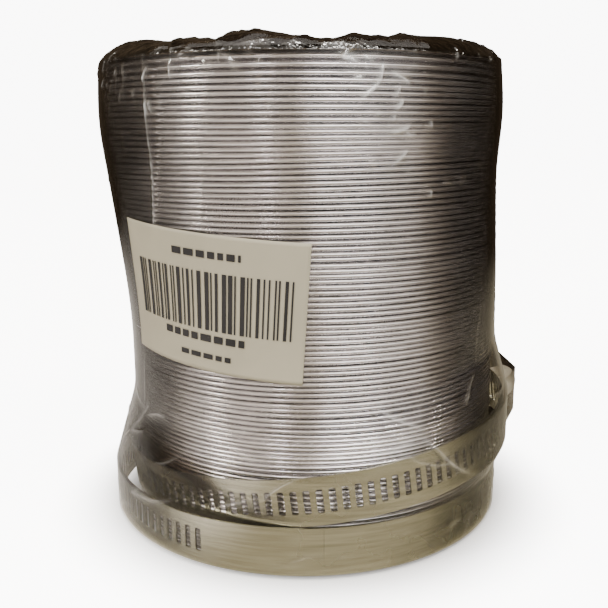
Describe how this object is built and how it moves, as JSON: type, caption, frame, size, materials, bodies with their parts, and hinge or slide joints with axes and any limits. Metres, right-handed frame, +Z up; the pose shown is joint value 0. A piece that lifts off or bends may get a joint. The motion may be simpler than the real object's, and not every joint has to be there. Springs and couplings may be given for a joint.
{
  "type": "flexible air duct",
  "caption": "Foil duct on a wire coil, pushed together into a short ribbed column, in shrink film with a paper label and loose worm-drive clamps round its foot.",
  "frame": {"origin": "centre of the bottom rim's bore, in the plane the rim stands on", "axes": "+Z up the duct's axis, -Y the front, +X to the right seen from the front"},
  "size_m": [0.1296, 0.1299, 0.131],
  "materials": {
    "foil": "bright rolled foil",
    "wire": "drawn and galvanised",
    "film": "clear gloss, creased",
    "label": "matt coated paper",
    "clamp_band": "satin stainless strip",
    "clamp_housing": "pressed stainless",
    "clamp_screw": "zinc plated, passivated"
  },
  "bodies": {
    "duct_bottom": {"duct_foil_01": "foil", "duct_wire_01": "wire", "upper_clamp_band": "clamp_band", "upper_clamp_housing": "clamp_housing", "lower_clamp_band": "clamp_band", "lower_clamp_housing": "clamp_housing"},
    "duct_section_02": {"duct_foil_02": "foil", "duct_wire_02": "wire"},
    "duct_section_03": {"duct_foil_03": "foil", "duct_wire_03": "wire"},
    "duct_section_04": {"duct_foil_04": "foil", "duct_wire_04": "wire"},
    "duct_section_05": {"duct_foil_05": "foil", "duct_wire_05": "wire"},
    "duct_section_06": {"duct_foil_06": "foil", "duct_wire_06": "wire"},
    "duct_section_07": {"duct_foil_07": "foil", "duct_wire_07": "wire"},
    "duct_section_08": {"duct_foil_08": "foil", "duct_wire_08": "wire"},
    "duct_section_09": {"duct_foil_09": "foil", "duct_wire_09": "wire"},
    "duct_section_10": {"duct_foil_10": "foil", "duct_wire_10": "wire"},
    "duct_section_11": {"duct_foil_11": "foil", "duct_wire_11": "wire"},
    "duct_section_12": {"duct_foil_12": "foil", "duct_wire_12": "wire"},
    "duct_section_13": {"duct_foil_13": "foil", "duct_wire_13": "wire"},
    "duct_section_14": {"duct_foil_14": "foil", "duct_wire_14": "wire"},
    "duct_section_15": {"duct_foil_15": "foil", "duct_wire_15": "wire"},
    "duct_top": {"duct_foil_16": "foil", "duct_wire_16": "wire"},
    "film": {"shrink_film": "film", "paper_label": "label"},
    "upper_clamp_tail": {"upper_clamp_tail": "clamp_band"},
    "upper_clamp_screw": {"upper_clamp_screw": "clamp_screw"},
    "lower_clamp_tail": {"lower_clamp_tail": "clamp_band"},
    "lower_clamp_screw": {"lower_clamp_screw": "clamp_screw"}
  },
  "joints": [
    {"name": "duct_extend", "type": "slide", "parent": "duct_bottom", "child": "duct_top", "axis": [0, 0, 1], "range_m": [0, 2.3113]},
    {"name": "section_02_spread", "type": "slide", "parent": "duct_bottom", "child": "duct_section_02", "axis": [0, 0, 1], "range_m": [0, 0.15459]},
    {"name": "section_03_spread", "type": "slide", "parent": "duct_bottom", "child": "duct_section_03", "axis": [0, 0, 1], "range_m": [0, 0.30867]},
    {"name": "section_04_spread", "type": "slide", "parent": "duct_bottom", "child": "duct_section_04", "axis": [0, 0, 1], "range_m": [0, 0.46276]},
    {"name": "section_05_spread", "type": "slide", "parent": "duct_bottom", "child": "duct_section_05", "axis": [0, 0, 1], "range_m": [0, 0.61684]},
    {"name": "section_06_spread", "type": "slide", "parent": "duct_bottom", "child": "duct_section_06", "axis": [0, 0, 1], "range_m": [0, 0.77093]},
    {"name": "section_07_spread", "type": "slide", "parent": "duct_bottom", "child": "duct_section_07", "axis": [0, 0, 1], "range_m": [0, 0.92501]},
    {"name": "section_08_spread", "type": "slide", "parent": "duct_bottom", "child": "duct_section_08", "axis": [0, 0, 1], "range_m": [0, 1.0791]},
    {"name": "section_09_spread", "type": "slide", "parent": "duct_bottom", "child": "duct_section_09", "axis": [0, 0, 1], "range_m": [0, 1.23318]},
    {"name": "section_10_spread", "type": "slide", "parent": "duct_bottom", "child": "duct_section_10", "axis": [0, 0, 1], "range_m": [0, 1.38727]},
    {"name": "section_11_spread", "type": "slide", "parent": "duct_bottom", "child": "duct_section_11", "axis": [0, 0, 1], "range_m": [0, 1.54135]},
    {"name": "section_12_spread", "type": "slide", "parent": "duct_bottom", "child": "duct_section_12", "axis": [0, 0, 1], "range_m": [0, 1.69544]},
    {"name": "section_13_spread", "type": "slide", "parent": "duct_bottom", "child": "duct_section_13", "axis": [0, 0, 1], "range_m": [0, 1.84952]},
    {"name": "section_14_spread", "type": "slide", "parent": "duct_bottom", "child": "duct_section_14", "axis": [0, 0, 1], "range_m": [0, 2.00361]},
    {"name": "section_15_spread", "type": "slide", "parent": "duct_bottom", "child": "duct_section_15", "axis": [0, 0, 1], "range_m": [0, 2.15769]},
    {"name": "film_lift", "type": "slide", "parent": "duct_top", "child": "film", "axis": [0, 0, 1], "range_m": [0, 0.25]},
    {"name": "upper_clamp_screw_turn", "type": "hinge", "parent": "duct_bottom", "child": "upper_clamp_screw", "pos_m": [0.05843, 0.01859, 0.02881], "axis": [0.3068, -0.9515, 0.0216], "range_deg": [0, 360]},
    {"name": "upper_clamp_tighten", "type": "hinge", "parent": "duct_bottom", "child": "upper_clamp_tail", "pos_m": [-0.05177, -0.01727, 0.0151], "axis": [-0.1184, -0.0156, 0.9928], "range_deg": [0, 1.64]},
    {"name": "lower_clamp_screw_turn", "type": "hinge", "parent": "duct_bottom", "child": "lower_clamp_screw", "pos_m": [-0.00773, 0.06127, 0.0074], "axis": [-0.9962, -0.0872, 0], "range_deg": [0, 360]},
    {"name": "lower_clamp_tighten", "type": "hinge", "parent": "duct_bottom", "child": "lower_clamp_tail", "pos_m": [0.00256, -0.05638, 0.0074], "axis": [0, 0, -1], "range_deg": [0, 1.62]}
  ],
  "couplings": [
    {"joint": "section_02_spread", "follows": "duct_extend", "ratio": 0.066667},
    {"joint": "section_03_spread", "follows": "duct_extend", "ratio": 0.13333},
    {"joint": "section_04_spread", "follows": "duct_extend", "ratio": 0.2},
    {"joint": "section_05_spread", "follows": "duct_extend", "ratio": 0.26667},
    {"joint": "section_06_spread", "follows": "duct_extend", "ratio": 0.33333},
    {"joint": "section_07_spread", "follows": "duct_extend", "ratio": 0.4},
    {"joint": "section_08_spread", "follows": "duct_extend", "ratio": 0.46667},
    {"joint": "section_09_spread", "follows": "duct_extend", "ratio": 0.53333},
    {"joint": "section_10_spread", "follows": "duct_extend", "ratio": 0.6},
    {"joint": "section_11_spread", "follows": "duct_extend", "ratio": 0.66667},
    {"joint": "section_12_spread", "follows": "duct_extend", "ratio": 0.73333},
    {"joint": "section_13_spread", "follows": "duct_extend", "ratio": 0.8},
    {"joint": "section_14_spread", "follows": "duct_extend", "ratio": 0.86667},
    {"joint": "section_15_spread", "follows": "duct_extend", "ratio": 0.93333},
    {"joint": "upper_clamp_tighten", "follows": "upper_clamp_screw_turn", "ratio": 0.0045311},
    {"joint": "lower_clamp_tighten", "follows": "lower_clamp_screw_turn", "ratio": 0.0044754}
  ]
}
